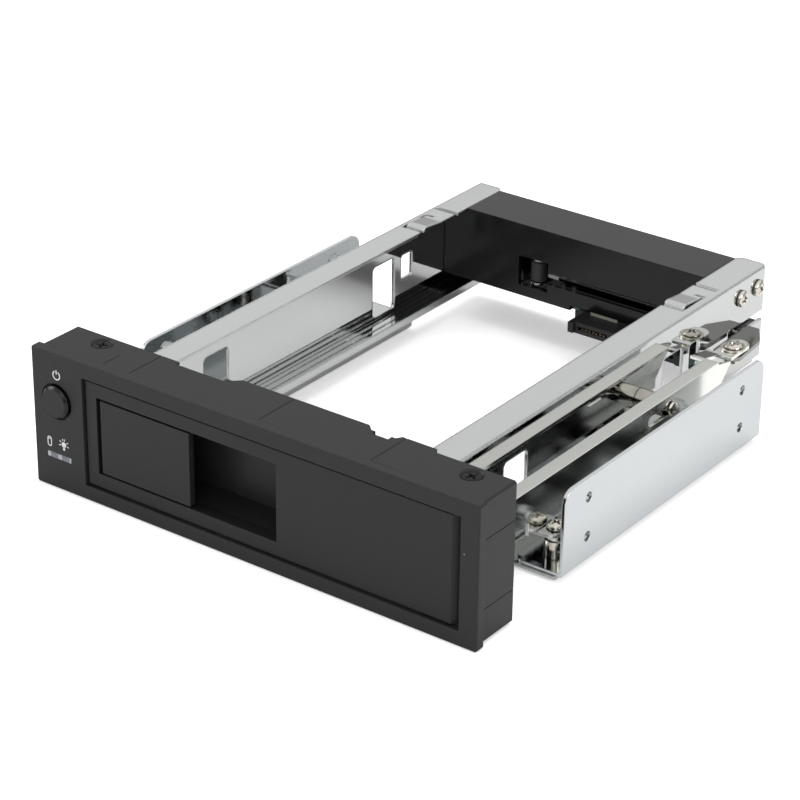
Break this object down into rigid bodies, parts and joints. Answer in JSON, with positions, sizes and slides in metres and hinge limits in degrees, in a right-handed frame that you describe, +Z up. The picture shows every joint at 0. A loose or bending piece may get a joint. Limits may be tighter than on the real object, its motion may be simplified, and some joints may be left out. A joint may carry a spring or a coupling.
{
  "type": "internal drive enclosure",
  "caption": "Trayless internal drive cage: black bezel with hinged latching door, steel side rails and bay brackets, rear connector housing, and a door-driven arm that ejects the drive.",
  "frame": {"origin": "middle of the underside of the bounding box; the bezel's lower edge is at Z 0", "axes": "+X to the right seen from the front, +Y to the rear, +Z up"},
  "size_m": [0.15, 0.1826, 0.042],
  "materials": {
    "black_plastic": "satin",
    "gloss_black_plastic": "polished",
    "black_steel": "satin",
    "stainless": "polished",
    "satin_steel": "satin",
    "zinc_steel": "satin",
    "circuit_board": "satin",
    "gold_contacts": "polished",
    "clear_plastic": "polished"
  },
  "bodies": {
    "frame": {"arm_guide_post": "zinc_steel", "arm_guide_screw": "zinc_steel", "backplane_board": "circuit_board", "backplane_screw": "zinc_steel", "bezel_screws": "black_steel", "bracket_posts": "zinc_steel", "bracket_screws": "zinc_steel", "button_switch": "black_plastic", "cover_screws": "zinc_steel", "data_socket": "black_plastic", "door_hinge_pins": "zinc_steel", "drive_receptacle": "black_plastic", "front_bezel": "black_plastic", "front_board": "circuit_board", "front_board_screws": "zinc_steel", "housing_screws": "zinc_steel", "indicator_lamps": "clear_plastic", "left_bracket": "satin_steel", "left_drive_ledge": "stainless", "left_rail": "stainless", "lever_pivot_pin": "zinc_steel", "light_window": "clear_plastic", "power_socket": "black_plastic", "rear_cover": "black_plastic", "rear_housing": "gloss_black_plastic", "receptacle_contacts": "gold_contacts", "right_bracket": "satin_steel", "right_drive_ledge": "stainless", "right_rail": "stainless", "socket_contacts": "gold_contacts"},
    "door": {"door_panel": "black_plastic", "latch_pin": "zinc_steel"},
    "latch": {"latch_lever": "black_plastic"},
    "button": {"power_button": "black_plastic"},
    "arm": {"actuator_arm": "satin_steel", "arm_pivot_screw": "zinc_steel", "arm_washer": "zinc_steel"},
    "ejector": {"ejector_lever": "satin_steel", "roller_pin": "zinc_steel"},
    "roller": {"roller": "black_plastic"}
  },
  "joints": [
    {"name": "door_hinge", "type": "hinge", "parent": "frame", "child": "door", "pos_m": [0.058, -0.0838, 0.021], "axis": [0, 0, 1], "range_deg": [0, 90]},
    {"name": "latch_pull", "type": "hinge", "parent": "door", "child": "latch", "pos_m": [-0.0499, -0.087, 0.021], "axis": [0, 0, -1], "range_deg": [0, 20], "stiffness_Nm_per_rad": 0.05},
    {"name": "button_press", "type": "slide", "parent": "frame", "child": "button", "axis": [0, 1, 0], "range_m": [0, 0.001], "stiffness_N_per_m": 200},
    {"name": "arm_slide", "type": "slide", "parent": "frame", "child": "arm", "axis": [0, 1, 0], "range_m": [0, 0.0098]},
    {"name": "ejector_pivot", "type": "hinge", "parent": "frame", "child": "ejector", "pos_m": [0.028, 0.0775, 0.0212], "axis": [0, 0, 1], "range_deg": [0, 15.8]},
    {"name": "roller_spin", "type": "hinge", "parent": "ejector", "child": "roller", "pos_m": [-0.0175, 0.0742, 0.0224], "axis": [0, 0, 1], "continuous": true}
  ],
  "couplings": [
    {"joint": "arm_slide", "follows": "door_hinge", "m_per_rad": 0.006201},
    {"joint": "ejector_pivot", "follows": "door_hinge", "ratio": 0.175}
  ]
}
